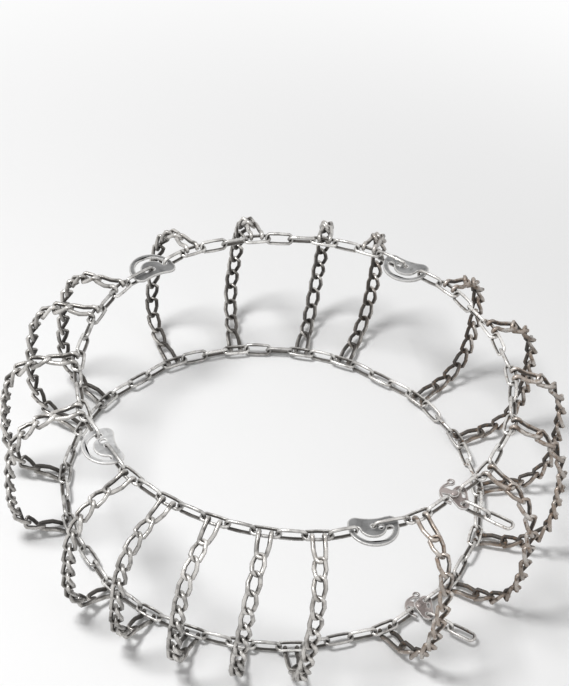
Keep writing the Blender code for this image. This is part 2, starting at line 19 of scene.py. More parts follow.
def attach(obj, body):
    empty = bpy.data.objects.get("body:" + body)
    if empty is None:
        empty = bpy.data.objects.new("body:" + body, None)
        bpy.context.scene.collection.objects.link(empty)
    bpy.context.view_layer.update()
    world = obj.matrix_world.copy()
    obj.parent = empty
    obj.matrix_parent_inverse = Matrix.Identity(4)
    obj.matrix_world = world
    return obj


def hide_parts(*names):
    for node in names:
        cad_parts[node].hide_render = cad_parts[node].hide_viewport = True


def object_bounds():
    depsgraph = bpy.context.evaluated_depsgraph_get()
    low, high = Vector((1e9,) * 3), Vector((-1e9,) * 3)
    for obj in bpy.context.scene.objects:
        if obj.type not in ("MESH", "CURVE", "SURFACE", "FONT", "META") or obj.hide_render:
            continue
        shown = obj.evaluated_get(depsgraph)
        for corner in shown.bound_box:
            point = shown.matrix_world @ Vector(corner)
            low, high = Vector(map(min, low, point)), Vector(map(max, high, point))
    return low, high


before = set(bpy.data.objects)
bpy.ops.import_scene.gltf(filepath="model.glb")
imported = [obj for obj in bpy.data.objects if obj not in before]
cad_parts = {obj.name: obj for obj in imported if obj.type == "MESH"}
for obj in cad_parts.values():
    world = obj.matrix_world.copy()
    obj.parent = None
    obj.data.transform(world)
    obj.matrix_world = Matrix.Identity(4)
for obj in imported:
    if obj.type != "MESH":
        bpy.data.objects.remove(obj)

CAD_BOX = [list(corner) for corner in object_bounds()]
print("CAD box in mm:", [[round(1000 * value) for value in corner] for corner in CAD_BOX])

# %% [markdown]
# ## Sizes
#
# A chain is ordered by two numbers, the wire's diameter and the pitch, which is the length
# that one link adds to the chain. The side chain is thinner and straight; the cross chain
# is thicker, because it runs on the road, and its links are twisted so that they lie flat.
# `SPANS` goes once round the wheel, anticlockwise: each entry is the number of links from
# one cross chain to the next, or the fitting in their place. All lengths are in metres, and
# the origin is the middle of the wheel.

# %% Sizes of the wires, the rings and the fittings
SIDE_WIRE = 0.0068
SIDE_PITCH = 0.047
SIDE_WIDTH = 0.0275
CROSS_WIRE = 0.0088
CROSS_WIDTH = 0.031
CROSS_TWIST = math.radians(-48.0)

SPANS = (3, 3, "cam", 2, 3, 3, "cam", 2, 3, 3, "cam", 2, 2, 2, 2, "cam", "fastener", 3, 3)
CAM_SPAN_LINKS = 4        # the inner ring's links where the outer ring has a cam
RING_HEIGHT = 0.147       # of the outer ring over the wheel's middle
RING_SHIFT = Vector((0.013, 0.008, 0.0))   # the rings don't lie quite in the tyre's middle
RING_START = math.radians(8.0)             # bearing of the first cross chain

REACH = {"cam": 0.0310, "fastener": 0.0340}            # link hole to caught link
HOLE_PITCH = {"cam": 0.0620, "fastener": SIDE_PITCH}   # of the link in the link hole
BAR_PLACE = 0.003822      # joint to the middle of the bar that a plate's hole holds

print("cross chains:", len(SPANS), "and cams:", SPANS.count("cam"))

# %% [markdown]
# ## Writing node trees as sums
#
# Geometry Nodes and shaders are both graphs of small steps, and a formula drawn as a graph
# is hard to read. The class below wraps one output socket and turns `a * b + 1` into the
# Math nodes that compute it. One function adds every other kind of node: its settings
# first, then its sockets.

# %% A socket that can be used in arithmetic
class Field:
    """One output socket of a node tree."""

    def __init__(self, tree, socket):
        self.tree = tree
        self.socket = socket

    def math(self, operation, *others):
        made = self.tree.nodes.new("ShaderNodeMath")
        made.operation = operation
        for index, value in enumerate((self, *others)):
            connect(self.tree, value, made.inputs[index])
        return Field(self.tree, made.outputs[0])

    def __add__(self, other):
        return self.math("ADD", other)

    def __sub__(self, other):
        return self.math("SUBTRACT", other)

    def __mul__(self, other):
        return self.math("MULTIPLY", other)

    def __truediv__(self, other):
        return self.math("DIVIDE", other)

    def __rsub__(self, other):
        return (self * -1.0) + other

    __radd__ = __add__
    __rmul__ = __mul__


def connect(tree, value, socket):
    """Feed a socket from another one, or set its value."""
    if isinstance(value, Field):
        tree.links.new(value.socket, socket)
    else:
        socket.default_value = value


def add(tree, kind, settings=None, sockets=None, out=0):
    """Add a node of any kind and give back one of its outputs."""
    made = tree.nodes.new(kind)
    for name, value in (settings or {}).items():
        setattr(made, name, value)
    for name, value in (sockets or {}).items():
        connect(tree, value, made.inputs[name])
    return Field(tree, made.outputs[out])


def more(field, out):
    """Another output of the node that a field comes from."""
    return Field(field.tree, field.socket.node.outputs[out])


print("a field writes Math nodes for + - * and /")

# %% [markdown]
# ## One link, made by Geometry Nodes
#
# A link is a round wire bent to an oval. Modelled by hand, the side link, the long link at a
# cam and the twisted cross link would be three meshes to keep alike, so one tree with named
# sizes makes them all. It starts with a circle of a few points and moves its two halves
# apart to the link's length. A cross link is also twisted: each point turns about the
# link's long axis by an angle that grows towards the ends, which bends the sides into the
# long S that such chain shows. Curve to Mesh then sweeps the wire. The tree also marks each
# point with a number for painted shade. It is 1 on the inner faces of the link, rises
# towards the wire's underside by `Underside`, and is 0 outside the link.

# %% The tree for a link
END_SLOPE = 4.0           # how quickly a link's two halves part


def new_tree(name, inputs):
    """An empty geometry tree with named inputs, and the fields of its inputs."""
    tree = bpy.data.node_groups.new(name, "GeometryNodeTree")
    tree.interface.new_socket("Geometry", in_out="OUTPUT", socket_type="NodeSocketGeometry")
    for label, kind in inputs.items():
        tree.interface.new_socket(label, in_out="INPUT", socket_type=kind)
    start = tree.nodes.new("NodeGroupInput")
    return tree, {label: Field(tree, start.outputs[label]) for label in inputs}


def end_tree(tree, geometry, metal):
    """Make the copies real, give them their metal, and end the tree."""
    whole = add(tree, "GeometryNodeRealizeInstances", None, {"Geometry": geometry})
    dressed = add(tree, "GeometryNodeSetMaterial", None, {"Geometry": whole, "Material": metal})
    connect(tree, dressed, tree.nodes.new("NodeGroupOutput").inputs[0])
    return tree


def link_tree():
    sizes = ("Pitch", "Width", "Wire", "Twist", "Underside")
    inputs = {"Geometry": "NodeSocketGeometry", **dict.fromkeys(sizes, "NodeSocketFloat"),
              "Points": "NodeSocketInt", "Flats": "NodeSocketInt", "Metal": "NodeSocketMaterial"}
    tree, size = new_tree("bent_link", inputs)
    half_width = (size["Width"] - size["Wire"]) / 2
    half_length = (size["Pitch"] + size["Wire"]) / 2
    ring = add(tree, "GeometryNodeCurvePrimitiveCircle", {"mode": "RADIUS"},
               {"Resolution": size["Points"]})
    angle = add(tree, "GeometryNodeInputIndex") / size["Points"] * math.tau
    cosine = angle.math("COSINE")
    end = (cosine * END_SLOPE).math("MINIMUM", 1.0).math("MAXIMUM", -1.0)
    along = cosine * half_width + end * (half_length - half_width)
    across = angle.math("SINE") * half_width
    turn = size["Twist"] * along / half_length
    place = add(tree, "ShaderNodeCombineXYZ", None,
                {0: along, 1: across * turn.math("COSINE"), 2: across * turn.math("SINE")})
    bent = add(tree, "GeometryNodeSetPosition", None, {"Geometry": ring, "Position": place})
    section = add(tree, "GeometryNodeCurvePrimitiveCircle", {"mode": "RADIUS"},
                  {"Resolution": size["Flats"], "Radius": size["Wire"] / 2})
    swept = add(tree, "GeometryNodeCurveToMesh", None, {"Curve": bent, "Profile Curve": section})
    # This mask paints shade: high on the link's inner faces and, by Underside, on the wire's
    # underside, and 0 outside, where the crests are painted pale.
    spot = add(tree, "GeometryNodeInputPosition")
    inwards = add(tree, "ShaderNodeVectorMath", {"operation": "NORMALIZE"}, {0: spot})
    normal = add(tree, "GeometryNodeInputNormal")
    facing = add(tree, "ShaderNodeVectorMath", {"operation": "DOT_PRODUCT"},
                 {0: inwards, 1: normal}, "Value")
    upwards = add(tree, "ShaderNodeSeparateXYZ", None, {0: normal}, "Z")
    shelter = 0.5 - facing * 0.5 - upwards * size["Underside"]
    marked = add(tree, "GeometryNodeStoreNamedAttribute", {"data_type": "FLOAT", "domain": "POINT"},
                 {"Geometry": swept, "Name": "shelter", "Value": shelter})
    smooth = add(tree, "GeometryNodeSetShadeSmooth", None, {"Geometry": marked})
    return end_tree(tree, smooth, size["Metal"])


LINK_TREE = link_tree()
print("link tree:", len(LINK_TREE.nodes), "nodes")

# %% [markdown]
# A tree works through a modifier. The chain is wanted as plain meshes, so the evaluated
# object is read back once and the modifier goes.

# %% Running a tree and keeping its mesh
def new_object(name, data=None):
    obj = bpy.data.objects.new(name, data or bpy.data.meshes.new(name))
    bpy.context.scene.collection.objects.link(obj)
    return obj


def plain_mesh(obj):
    """The mesh that an object's curve or modifiers make."""
    graph = bpy.context.evaluated_depsgraph_get()
    return bpy.data.meshes.new_from_object(obj.evaluated_get(graph))


def run_tree(obj, tree, values):
    """Give an object a tree and its inputs, then keep the result as a plain mesh."""
    modifier = obj.modifiers.new(tree.name, "NODES")
    modifier.node_group = tree
    for item in tree.interface.items_tree:
        if item.in_out == "INPUT" and item.name in values:
            modifier[item.identifier] = values[item.name]
    bpy.context.view_layer.update()
    mesh = plain_mesh(obj)
    obj.modifiers.clear()
    obj.data = mesh
    return obj


print("inputs of the link tree:", len(LINK_TREE.interface.items_tree) - 1)

# %% [markdown]
# ## Steel, zinc and rust
#
# Every piece is steel, but each kind looks different. The side chain keeps its bright zinc
# and is dull where it is handled. The cross chains are darker, with brown rust in patches
# and bare crests where the road rubs them, which are also painted pale as a highlight. The
# cams have the grey bloom of hot galvanising, and the fastener is a warmer, worn zinc. Four
# materials would repeat the same nodes, so one function makes them all: a clean and a dull
# colour mixed by broad noise, grime by a second noise, painted shade on the links' inner
# faces and undersides, rust by a third noise, and a fine grain that changes the roughness
# and the bump.
#
# Numbers on the points steer it. On a link, `tone` differs from link to link, a second
# number is high where shade is painted, on the inner faces and the undersides, and low on
# the crests, which are bare and also carry a painted highlight, and `weather` is high on
# the side of the wheel that stood in mud, which dried to a thin tan film there. On a plate,
# `rim` is 1 on the edges, which are worn bright and also carry a painted highlight, and
# `lift` makes it paler or darker.

# %% Nodes that the metals use
def mix(tree, factor, first, second):
    """Mix two colours by a factor."""
    made = tree.nodes.new("ShaderNodeMix")
    made.data_type = "RGBA"
    connect(tree, factor, made.inputs[0])
    for value, socket in ((first, made.inputs[6]), (second, made.inputs[7])):
        connect(tree, value if isinstance(value, Field) else (*value, 1.0), socket)
    return Field(tree, made.outputs[2])


def noise(tree, where, scale, detail=3.0, roughness=0.55):
    return add(tree, "ShaderNodeTexNoise", None,
               {"Vector": where, "Scale": scale, "Detail": detail, "Roughness": roughness})


def between(tree, value, low, high):
    """0 below low, 1 above high, smooth between."""
    return add(tree, "ShaderNodeMapRange", {"interpolation_type": "SMOOTHSTEP"},
               {"Value": value, "From Min": low, "From Max": high})


def stored(tree, label):
    """A number that the mesh stores on its points."""
    return add(tree, "ShaderNodeAttribute", {"attribute_name": label}, None, "Fac")


MUD = 0.33, 0.245, 0.185
# Pale bare zinc for the plates' rims, which is also a painted highlight.
BARE_PLATE_AND_HIGHLIGHT = 0.66, 0.65, 0.635
# Pale bare wire for the crests, which is also a painted highlight.
BARE_WIRE_AND_HIGHLIGHT = 0.80, 0.785, 0.76
BROAD_SCALE, PATCH_SCALE, SPOT_SCALE, GRAIN_SCALE = 38.0, 75.0, 150.0, 900.0   # per metre
GRAIN_HEIGHT = 0.0006
print("grain in mm:", round(1000 / GRAIN_SCALE, 1))

# %% A function for worn metal
def worn_metal(name, clean, dull, grime_and_shade, rust, rust_share, roughness, metallic,
               mud=0.0, bared_and_highlit=(0.0, 0.0), crest_to=0.0):
    """Worn steel with painted shade and painted highlights, of a link where there is mud, and else
    of a plate whose rims are worn and painted pale.

    bared_and_highlit is the share of pale bare wire, which is also a painted highlight, on the
    crests, on the wheel's clean and muddy side, and crest_to is the value of the shade mask up
    to which a link's wire counts as a crest.
    """
    material = bpy.data.materials.new(name)
    material.use_nodes = True
    tree = material.node_tree
    shader = tree.nodes["Principled BSDF"]
    where = add(tree, "ShaderNodeTexCoord", None, None, "Object")
    broad = noise(tree, where, BROAD_SCALE)
    patch = noise(tree, where, PATCH_SCALE, 4.0)
    spots = noise(tree, where, SPOT_SCALE, 5.0, 0.65)
    grain = noise(tree, where, GRAIN_SCALE, 2.0)
    is_link = mud > 0

    # Grime lies in patches, painted shade lies on the links' inner faces and undersides, and rust
    # lies in spots.
    dirt_and_shade = between(tree, patch, 0.54, 0.70)
    eaten = spots
    if is_link:
        shelter, weather = stored(tree, "shelter"), stored(tree, "weather")
        # Painted shade on the inner faces and undersides, broken up by grime patches.
        shade_and_grime = between(tree, shelter + patch * 0.6 + weather * 0.1, 0.58, 0.94)
        dirt_and_shade = dirt_and_shade.math("MAXIMUM", shade_and_grime)
        eaten = spots + weather * 0.11
    else:
        rim = stored(tree, "rim")
        dirt_and_shade = dirt_and_shade * 0.55 * (1 - rim)
    rusty = between(tree, eaten, 0.70 - 0.3 * rust_share, 0.80 - 0.3 * rust_share)

    # The colours go on as layers.
    colour = mix(tree, between(tree, broad, 0.38, 0.66), clean, dull)
    if is_link:
        film = weather * between(tree, broad, 0.25, 0.60) * mud
        colour = mix(tree, film, colour, MUD)
    # Dark grime, and painted shade in the links' hollows and on their undersides.
    colour = mix(tree, dirt_and_shade * 0.92, colour, grime_and_shade)
    colour = mix(tree, rusty * 0.80, colour, rust)
    if is_link:
        # Pale crests: bare wire, and a painted highlight on the outer and upper faces.
        crest_wear_and_highlight = (1 - between(tree, shelter + spots * 0.3, crest_to - 0.32, crest_to)) * (1 - rusty)
        share = weather * (bared_and_highlit[1] - bared_and_highlit[0]) + bared_and_highlit[0]
        colour = mix(tree, crest_wear_and_highlight * share, colour, BARE_WIRE_AND_HIGHLIGHT)
        shade = (stored(tree, "tone") - 0.5) * 0.35 + 1.0
    else:
        shade = stored(tree, "lift") + (grain - 0.5) * 0.30 + 1.0
    colour = add(tree, "ShaderNodeVectorMath", {"operation": "SCALE"}, {0: colour, "Scale": shade})
    if not is_link:
        # Pale rims: edge wear and a painted highlight.
        colour = mix(tree, rim * between(tree, spots, 0.26, 0.48) * 0.85, colour, BARE_PLATE_AND_HIGHLIGHT)
    connect(tree, colour, shader.inputs["Base Color"])

    # Grime, the painted shade that shares its mask, and rust are rougher than zinc, and less of a
    # metal.
    rough = broad * 0.22 + dirt_and_shade * 0.22 + rusty * 0.30 + grain * 0.14 + (roughness - 0.17)
    connect(tree, rough.math("MINIMUM", 0.95), shader.inputs["Roughness"])
    covered = dirt_and_shade * 0.25 + rusty * 0.25 + (film * 0.4 if is_link else 0.0)
    connect(tree, metallic - covered, shader.inputs["Metallic"])
    bump = add(tree, "ShaderNodeBump", None,
               {"Strength": 0.35, "Distance": GRAIN_HEIGHT, "Height": grain * 0.5 + spots * 0.5})
    connect(tree, bump, shader.inputs["Normal"])
    return material


# The grime layer also paints shade, and the bare metal also paints a highlight.
print("layers of a finish: zinc, mud, grime, rust, bare metal")

# %% The four finishes
SIDE_STEEL = worn_metal(
    "side_chain_zinc", clean=(0.64, 0.63, 0.61), dull=(0.29, 0.28, 0.27),
    grime_and_shade=(0.05, 0.043, 0.036), rust=(0.19, 0.125, 0.085), rust_share=0.12,
    roughness=0.29, metallic=0.70, mud=0.15, bared_and_highlit=(0.15, 0.50), crest_to=0.85)
CROSS_STEEL = worn_metal(
    "cross_chain_wire", clean=(0.54, 0.52, 0.495), dull=(0.17, 0.16, 0.147),
    grime_and_shade=(0.03, 0.025, 0.021), rust=(0.20, 0.13, 0.085), rust_share=0.20,
    roughness=0.28, metallic=0.65, mud=0.65, bared_and_highlit=(0.32, 0.12), crest_to=0.40)
CAM_ZINC = worn_metal(
    "cam_galvanised", clean=(0.35, 0.35, 0.35), dull=(0.24, 0.24, 0.24),
    grime_and_shade=(0.09, 0.09, 0.085), rust=(0.30, 0.24, 0.18), rust_share=0.03,
    roughness=0.36, metallic=0.65)
FASTENER_ZINC = worn_metal(
    "fastener_plating", clean=(0.38, 0.335, 0.32), dull=(0.20, 0.17, 0.16),
    grime_and_shade=(0.08, 0.066, 0.057), rust=(0.30, 0.19, 0.13), rust_share=0.12,
    roughness=0.36, metallic=0.65)
print("materials:", [material.name for material in bpy.data.materials])

# %% [markdown]
# ## Where every link lies
#
# A ring is solved, not measured: each cross chain hooks on a flat link, a straight run of
# links leads to the next one, and the ring's radius is the one at which all the runs close
# exactly. Links strung along a circle would bend the runs, which a tensioned chain doesn't.
# A cam takes the place of four links, and the fastener has its own reach. The same rule
# places the cams and the fastener, so they meet their links without any fitting.

# %% The radius at which a ring closes
def straight_length(span, with_cams):
    """Straight run between two hooked links: a fitting and its two links, or links alone."""
    if span == "fastener" or (span == "cam" and with_cams):
        return SIDE_PITCH + HOLE_PITCH[span] + (REACH[span] + 2 * BAR_PLACE)
    return ((CAM_SPAN_LINKS if span == "cam" else span) - 1) * SIDE_PITCH


def span_angle(length, radius):
    """Angle from one hooked link to the next on a ring of this radius."""
    half = SIDE_PITCH / 2
    return 2 * math.asin(length / (2 * math.hypot(radius, half))) + 2 * math.atan(half / radius)


def closing_radius(lengths):
    """Halve an interval of radii until the spans fill one whole turn."""
    low, high = 0.2, 0.8
    for _ in range(60):
        middle = (low + high) / 2
        total = sum(span_angle(length, middle) for length in lengths)
        low, high = (middle, high) if total > math.tau else (low, middle)
    return (low + high) / 2


print("length of the spans in mm:", [round(1000 * straight_length(span, True)) for span in SPANS])

# %% A frame between two points
UP = Vector((0, 0, 1))
ON_EDGE = Matrix.Rotation(math.pi / 2, 4, "X")


def frame_between(start, end, up):
    """Matrix that lays local X from start to end about their middle, with Z near up."""
    x_axis = (end - start).normalized()
    y_axis = up.cross(x_axis).normalized()
    matrix = Matrix((x_axis, y_axis, x_axis.cross(y_axis))).transposed().to_4x4()
    matrix.translation = (start + end) / 2
    return matrix


print("a link on edge:", ON_EDGE.to_euler())

# %% Rings of side chain
class Ring:
    """Places of one side chain's links; side is 1 outside and -1 inside."""

    def __init__(self, side):
        self.side = side
        self.centre = RING_SHIFT * side + UP * RING_HEIGHT * side
        lengths = [straight_length(span, side > 0) for span in SPANS]
        self.radius = closing_radius(lengths)
        turns = [span_angle(length, self.radius) for length in lengths]
        self.angles = [RING_START + sum(turns[:index]) for index in range(len(SPANS))]

    def hooked(self, index):
        """Middle, outward direction and anticlockwise direction of a hooked link."""
        angle = self.angles[index % len(SPANS)]
        out = Vector((math.cos(angle), math.sin(angle), 0))
        return self.centre + out * self.radius, out, Vector((-out.y, out.x, 0))

    def link_ends(self, index):
        middle, _, along = self.hooked(index)
        half = along * SIDE_PITCH / 2
        return middle - half, middle + half

    def span_ends(self, index):
        return self.link_ends(index)[1], self.link_ends(index + 1)[0]

    def run_links(self, index):
        """Links between two flat ones; they share out the half turn between them."""
        span = SPANS[index % len(SPANS)]
        count = CAM_SPAN_LINKS if span == "cam" else span
        start, end = self.span_ends(index)
        step = (end - start) / (count - 1)
        quarter = math.pi / 2 if count % 2 == 0 else math.pi / count
        return [frame_between(start + step * (place - 1), start + step * place, UP)
                @ Matrix.Rotation(quarter * place, 4, "X") for place in range(1, count)]

    def connector(self, index):
        """Frame in a cam's or fastener's link hole: X towards the caught link, Y outwards."""
        start, end = self.span_ends(index)
        back = (start - end).normalized()
        matrix = Matrix((back, UP.cross(back), UP)).transposed().to_4x4()
        matrix.translation = end + back * (HOLE_PITCH[SPANS[index]] + BAR_PLACE)
        return matrix

    def connector_links(self, index):
        """The two links on edge that a cam or a fastener joins."""
        start, end = self.span_ends(index)
        along = (end - start).normalized()
        return (frame_between(end - along * HOLE_PITCH[SPANS[index]], end, UP) @ ON_EDGE,
                frame_between(start, start + along * SIDE_PITCH, UP) @ ON_EDGE)

    def piece(self, first, last, skip_first):
        links = []
        for index in range(first, last + 1):
            if index > first or not skip_first:
                links.append(frame_between(*self.link_ends(index), UP))
            if index < last:
                links += self.run_links(index)
        return links


OUTER, INNER = Ring(1), Ring(-1)
print("ring radii in mm:", round(1000 * OUTER.radius, 1), round(1000 * INNER.radius, 1))

# %% [markdown]
# ## Laying the copies
#
# Some four hundred linked copies would be as many objects, but a length of chain is one
# piece, so it is a cloud of points. A point carries the turn of its link as a quaternion,
# its stretch as three factors, its tone, and whether it is a link or one of the hooks at
# the ends. Instance on Points copies the right shape to every point, Realize Instances
# makes the copies real, and the result is kept as one plain mesh.

# %% The tree that lays copies
def copies_tree():
    inputs = {"Geometry": "NodeSocketGeometry", "Link": "NodeSocketObject",
              "Hook": "NodeSocketObject", "Metal": "NodeSocketMaterial"}
    tree, given = new_tree("copies_on_points", inputs)
    marks = {"aim": "QUATERNION", "stretch": "FLOAT_VECTOR", "is_hook": "FLOAT"}
    aim, stretch, is_hook = (
        add(tree, "GeometryNodeInputNamedAttribute", {"data_type": kind}, {"Name": label})
        for label, kind in marks.items())
    both = tree.nodes.new("GeometryNodeJoinGeometry")
    for label, chosen in (("Link", 1.0 - is_hook), ("Hook", is_hook)):
        shape = add(tree, "GeometryNodeObjectInfo", None, {"Object": given[label]}, "Geometry")
        laid = add(tree, "GeometryNodeInstanceOnPoints", None,
                   {"Points": given["Geometry"], "Selection": chosen, "Instance": shape,
                    "Rotation": aim, "Scale": stretch})
        connect(tree, laid, both.inputs[0])
    return end_tree(tree, Field(tree, both.outputs[0]), given["Metal"])


COPIES_TREE = copies_tree()
print("copies tree:", len(COPIES_TREE.nodes), "nodes")

# %% A function that lays one length of chain
WEATHER_REACH = 0.36      # how far to the right the mud is thickest
DRAWS = random.Random(11)


def weather(place):
    """0 on the left half of the wheel, and rising smoothly to 1 on the right."""
    share = min(1.0, max(0.0, place.x / WEATHER_REACH))
    return share * share * (3.0 - 2.0 * share)


def lay(name, link, matrices, metal, stretches=None, hook=None, hooks=()):
    """Copies of a link at the matrices, and of a hook at its own, as one plain mesh."""
    link_count = len(matrices)
    matrices = list(matrices) + list(hooks)
    cloud = bpy.data.meshes.new(name)
    cloud.from_pydata([matrix.translation for matrix in matrices], [], [])
    kinds = {"aim": "QUATERNION", "stretch": "FLOAT_VECTOR", "tone": "FLOAT",
             "weather": "FLOAT", "is_hook": "FLOAT"}
    for label, kind in kinds.items():
        cloud.attributes.new(label, kind, "POINT")
    aim, stretch, tone, mud, is_hook = (cloud.attributes[label] for label in kinds)
    for index, matrix in enumerate(matrices):
        aim.data[index].value = matrix.to_quaternion()
        pull = stretches[index] if stretches and index < link_count else 1.0
        stretch.data[index].vector = (pull, 1.0, 1.0)
        is_hook.data[index].value = float(index >= link_count)
        tone.data[index].value = DRAWS.random()
        mud.data[index].value = weather(matrix.translation)
    return run_tree(new_object(name, cloud), COPIES_TREE,
                    {"Link": link, "Hook": hook, "Metal": metal})


print("mud 90 mm to the right:", round(weather(Vector((0.09, 0, 0))), 2))

# %% [markdown]
# ## The links
#
# The chain has four of them: the side link, a longer one at each cam, a loose spare link
# and the twisted cross link. Sixteen points and six flats are enough for a shape that
# appears hundreds of times, since smooth shading hides the facets.

# %% The four links
LINK_POINTS = 16
LINK_FLATS = 6
SPARE_PLAY = 0.0005       # the spare links hang loose, so they may swing
CROSS_UNDERSIDE_SHADE = 0.32    # painted shade, darker on the side of the wire that faces the tyre


def bent_link(name, pitch, width, wire, metal, twist=0.0, underside=0.0):
    return run_tree(new_object(name), LINK_TREE, {
        "Pitch": pitch, "Width": width, "Wire": wire, "Twist": twist, "Underside": underside,
        "Points": LINK_POINTS, "Flats": LINK_FLATS, "Metal": metal})


SIDE_BAR = SIDE_WIDTH, SIDE_WIRE, SIDE_STEEL
side_link = bent_link("side_link_shape", SIDE_PITCH, *SIDE_BAR)
long_link = bent_link("long_link_shape", HOLE_PITCH["cam"], *SIDE_BAR)
spare_link = bent_link("spare_link_shape", SIDE_PITCH + SPARE_PLAY, *SIDE_BAR)
cross_link = bent_link("cross_link_shape", SIDE_PITCH, CROSS_WIDTH, CROSS_WIRE, CROSS_STEEL,
                       CROSS_TWIST, CROSS_UNDERSIDE_SHADE)
print("faces in a link:", len(side_link.data.polygons))

# %% [markdown]
# ## Side chains
#
# The outer ring is broken by the cams and the fastener. The inner one has only its
# fastener and is cut into five lengths too. Each rides with the body `chain` and stands for
# the CAD node of its name.

# %% Lay the side chains
INNER_PIECES = 5


def keep(piece, body, slot, *nodes):
    """Attach a finished piece to its body and hide the CAD nodes that it stands for."""
    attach(piece, body)
    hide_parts(*nodes)


def side_piece(name, link, matrices, node, body="chain"):
    keep(lay(name, link, matrices, SIDE_STEEL), body, "side_chain_steel", node)


def outer_lengths():
    """First and last hooked link of each length between two connectors."""
    breaks = [index for index, span in enumerate(SPANS) if span in ("cam", "fastener")]
    for number, index in enumerate(breaks):
        following = breaks[(number + 1) % len(breaks)]
        yield index + 1, following if following > index else following + len(SPANS)


def inner_lengths():
    """The same for the inner ring, cut at hooked links into nearly equal lengths."""
    opening = SPANS.index("fastener")
    hooked = list(range(opening + 1, opening + 1 + len(SPANS)))
    cuts = [round(number * (len(hooked) - 1) / INNER_PIECES) for number in range(INNER_PIECES + 1)]
    for number in range(INNER_PIECES):
        yield hooked[cuts[number]], hooked[cuts[number + 1]]


for number, (first, last) in enumerate(outer_lengths(), 1):
    side_piece(f"outer_ring_length_{number}", side_link, OUTER.piece(first, last, False),
               f"outer_side_chain_{number}")
for number, (first, last) in enumerate(inner_lengths(), 1):
    side_piece(f"inner_ring_length_{number}", side_link, INNER.piece(first, last, number > 1),
               f"inner_side_chain_{number}")
print("outer lengths:", list(outer_lengths()))

# %% [markdown]
# A cam and a fastener each join two links that stand on edge, so that a flat plate can hang
# in them. The link in a cam's round hole is long, because the half ring swings through it.

# %% Links that hold the cams and fasteners
CAM_SPANS = [index for index, span in enumerate(SPANS) if span == "cam"]
FASTENER_SPAN = SPANS.index("fastener")
for number, index in enumerate(CAM_SPANS, 1):
    matrices = OUTER.connector_links(index)
    for kind, link, matrix in zip(("hole", "slot"), (long_link, side_link), matrices):
        side_piece(f"cam_{number}_{kind}_bar", link, [matrix], f"cam_{number}_{kind}_link")
for prefix, ring in (("outer", OUTER), ("inner", INNER)):
    for kind, matrix in zip(("fastener", "latched"), ring.connector_links(FASTENER_SPAN)):
        side_piece(f"{prefix}_{kind}_bar", side_link, [matrix], f"{prefix}_{kind}_link")
print("spans with a cam:", CAM_SPANS, "with the fastener:", FASTENER_SPAN)

# %% [markdown]
# ## Cross chains
#
# A cross chain runs over the tyre along a superellipse, the rounded box that a truck
# tyre's section nearly is; a plain ellipse would leave the shoulders too soft. Points an
# equal way apart along that curve are the joints of the links. Its length has no simple
# formula, so it is walked once in small steps and read back from the list.

# %% The run over the tyre
RUN_CENTRE = 0.395
RUN_DEPTH = 0.156
RUN_HALF_WIDTH = 0.1495
RUN_POWER = 3.2
RUN_STEPS = 400
LENGTH, RADIUS, HEIGHT = 0, 1, 2   # columns of the list of places


def run_points():
    """Length along the run, radius and height, from outside to inside."""
    length, places = 0.0, []
    for step in range(RUN_STEPS + 1):
        angle = math.pi * step / RUN_STEPS
        sine, cosine = math.sin(angle), math.cos(angle)
        radius = RUN_CENTRE + RUN_DEPTH * abs(sine) ** (2 / RUN_POWER)
        height = RUN_HALF_WIDTH * math.copysign(abs(cosine) ** (2 / RUN_POWER), cosine)
        if places:
            length += math.hypot(radius - places[-1][RADIUS], height - places[-1][HEIGHT])
        places.append((length, radius, height))
    return places


def read(places, key, value, column):
    """Straight-line reading of a column where another column reaches a value."""
    for before, after in zip(places, places[1:]):
        low, high = sorted((before[key], after[key]))
        if low <= value <= high and high > low:
            share = (value - before[key]) / (after[key] - before[key])
            return before[column] + (after[column] - before[column]) * share
    return places[-1][column]


RUN = run_points()
print("length of the run in mm:", round(1000 * RUN[-1][LENGTH]))

# %% Where the links and hooks of a cross chain lie
CROSS_LINKS = 10
HOOK_LENGTH = 0.047


def hook_matrix(ring, index, wire_place, joint):
    """Frame on the side chain's wire: X along the hook, Z away from the tyre."""
    y_axis = ring.hooked(index)[2]
    x_axis = joint - wire_place
    x_axis = (x_axis - y_axis * x_axis.dot(y_axis)).normalized()
    z_axis = x_axis.cross(y_axis)
    if z_axis.z * ring.side < 0:
        y_axis, z_axis = -y_axis, -z_axis
    matrix = Matrix((x_axis, y_axis, z_axis)).transposed().to_4x4()
    matrix.translation = wire_place
    return matrix


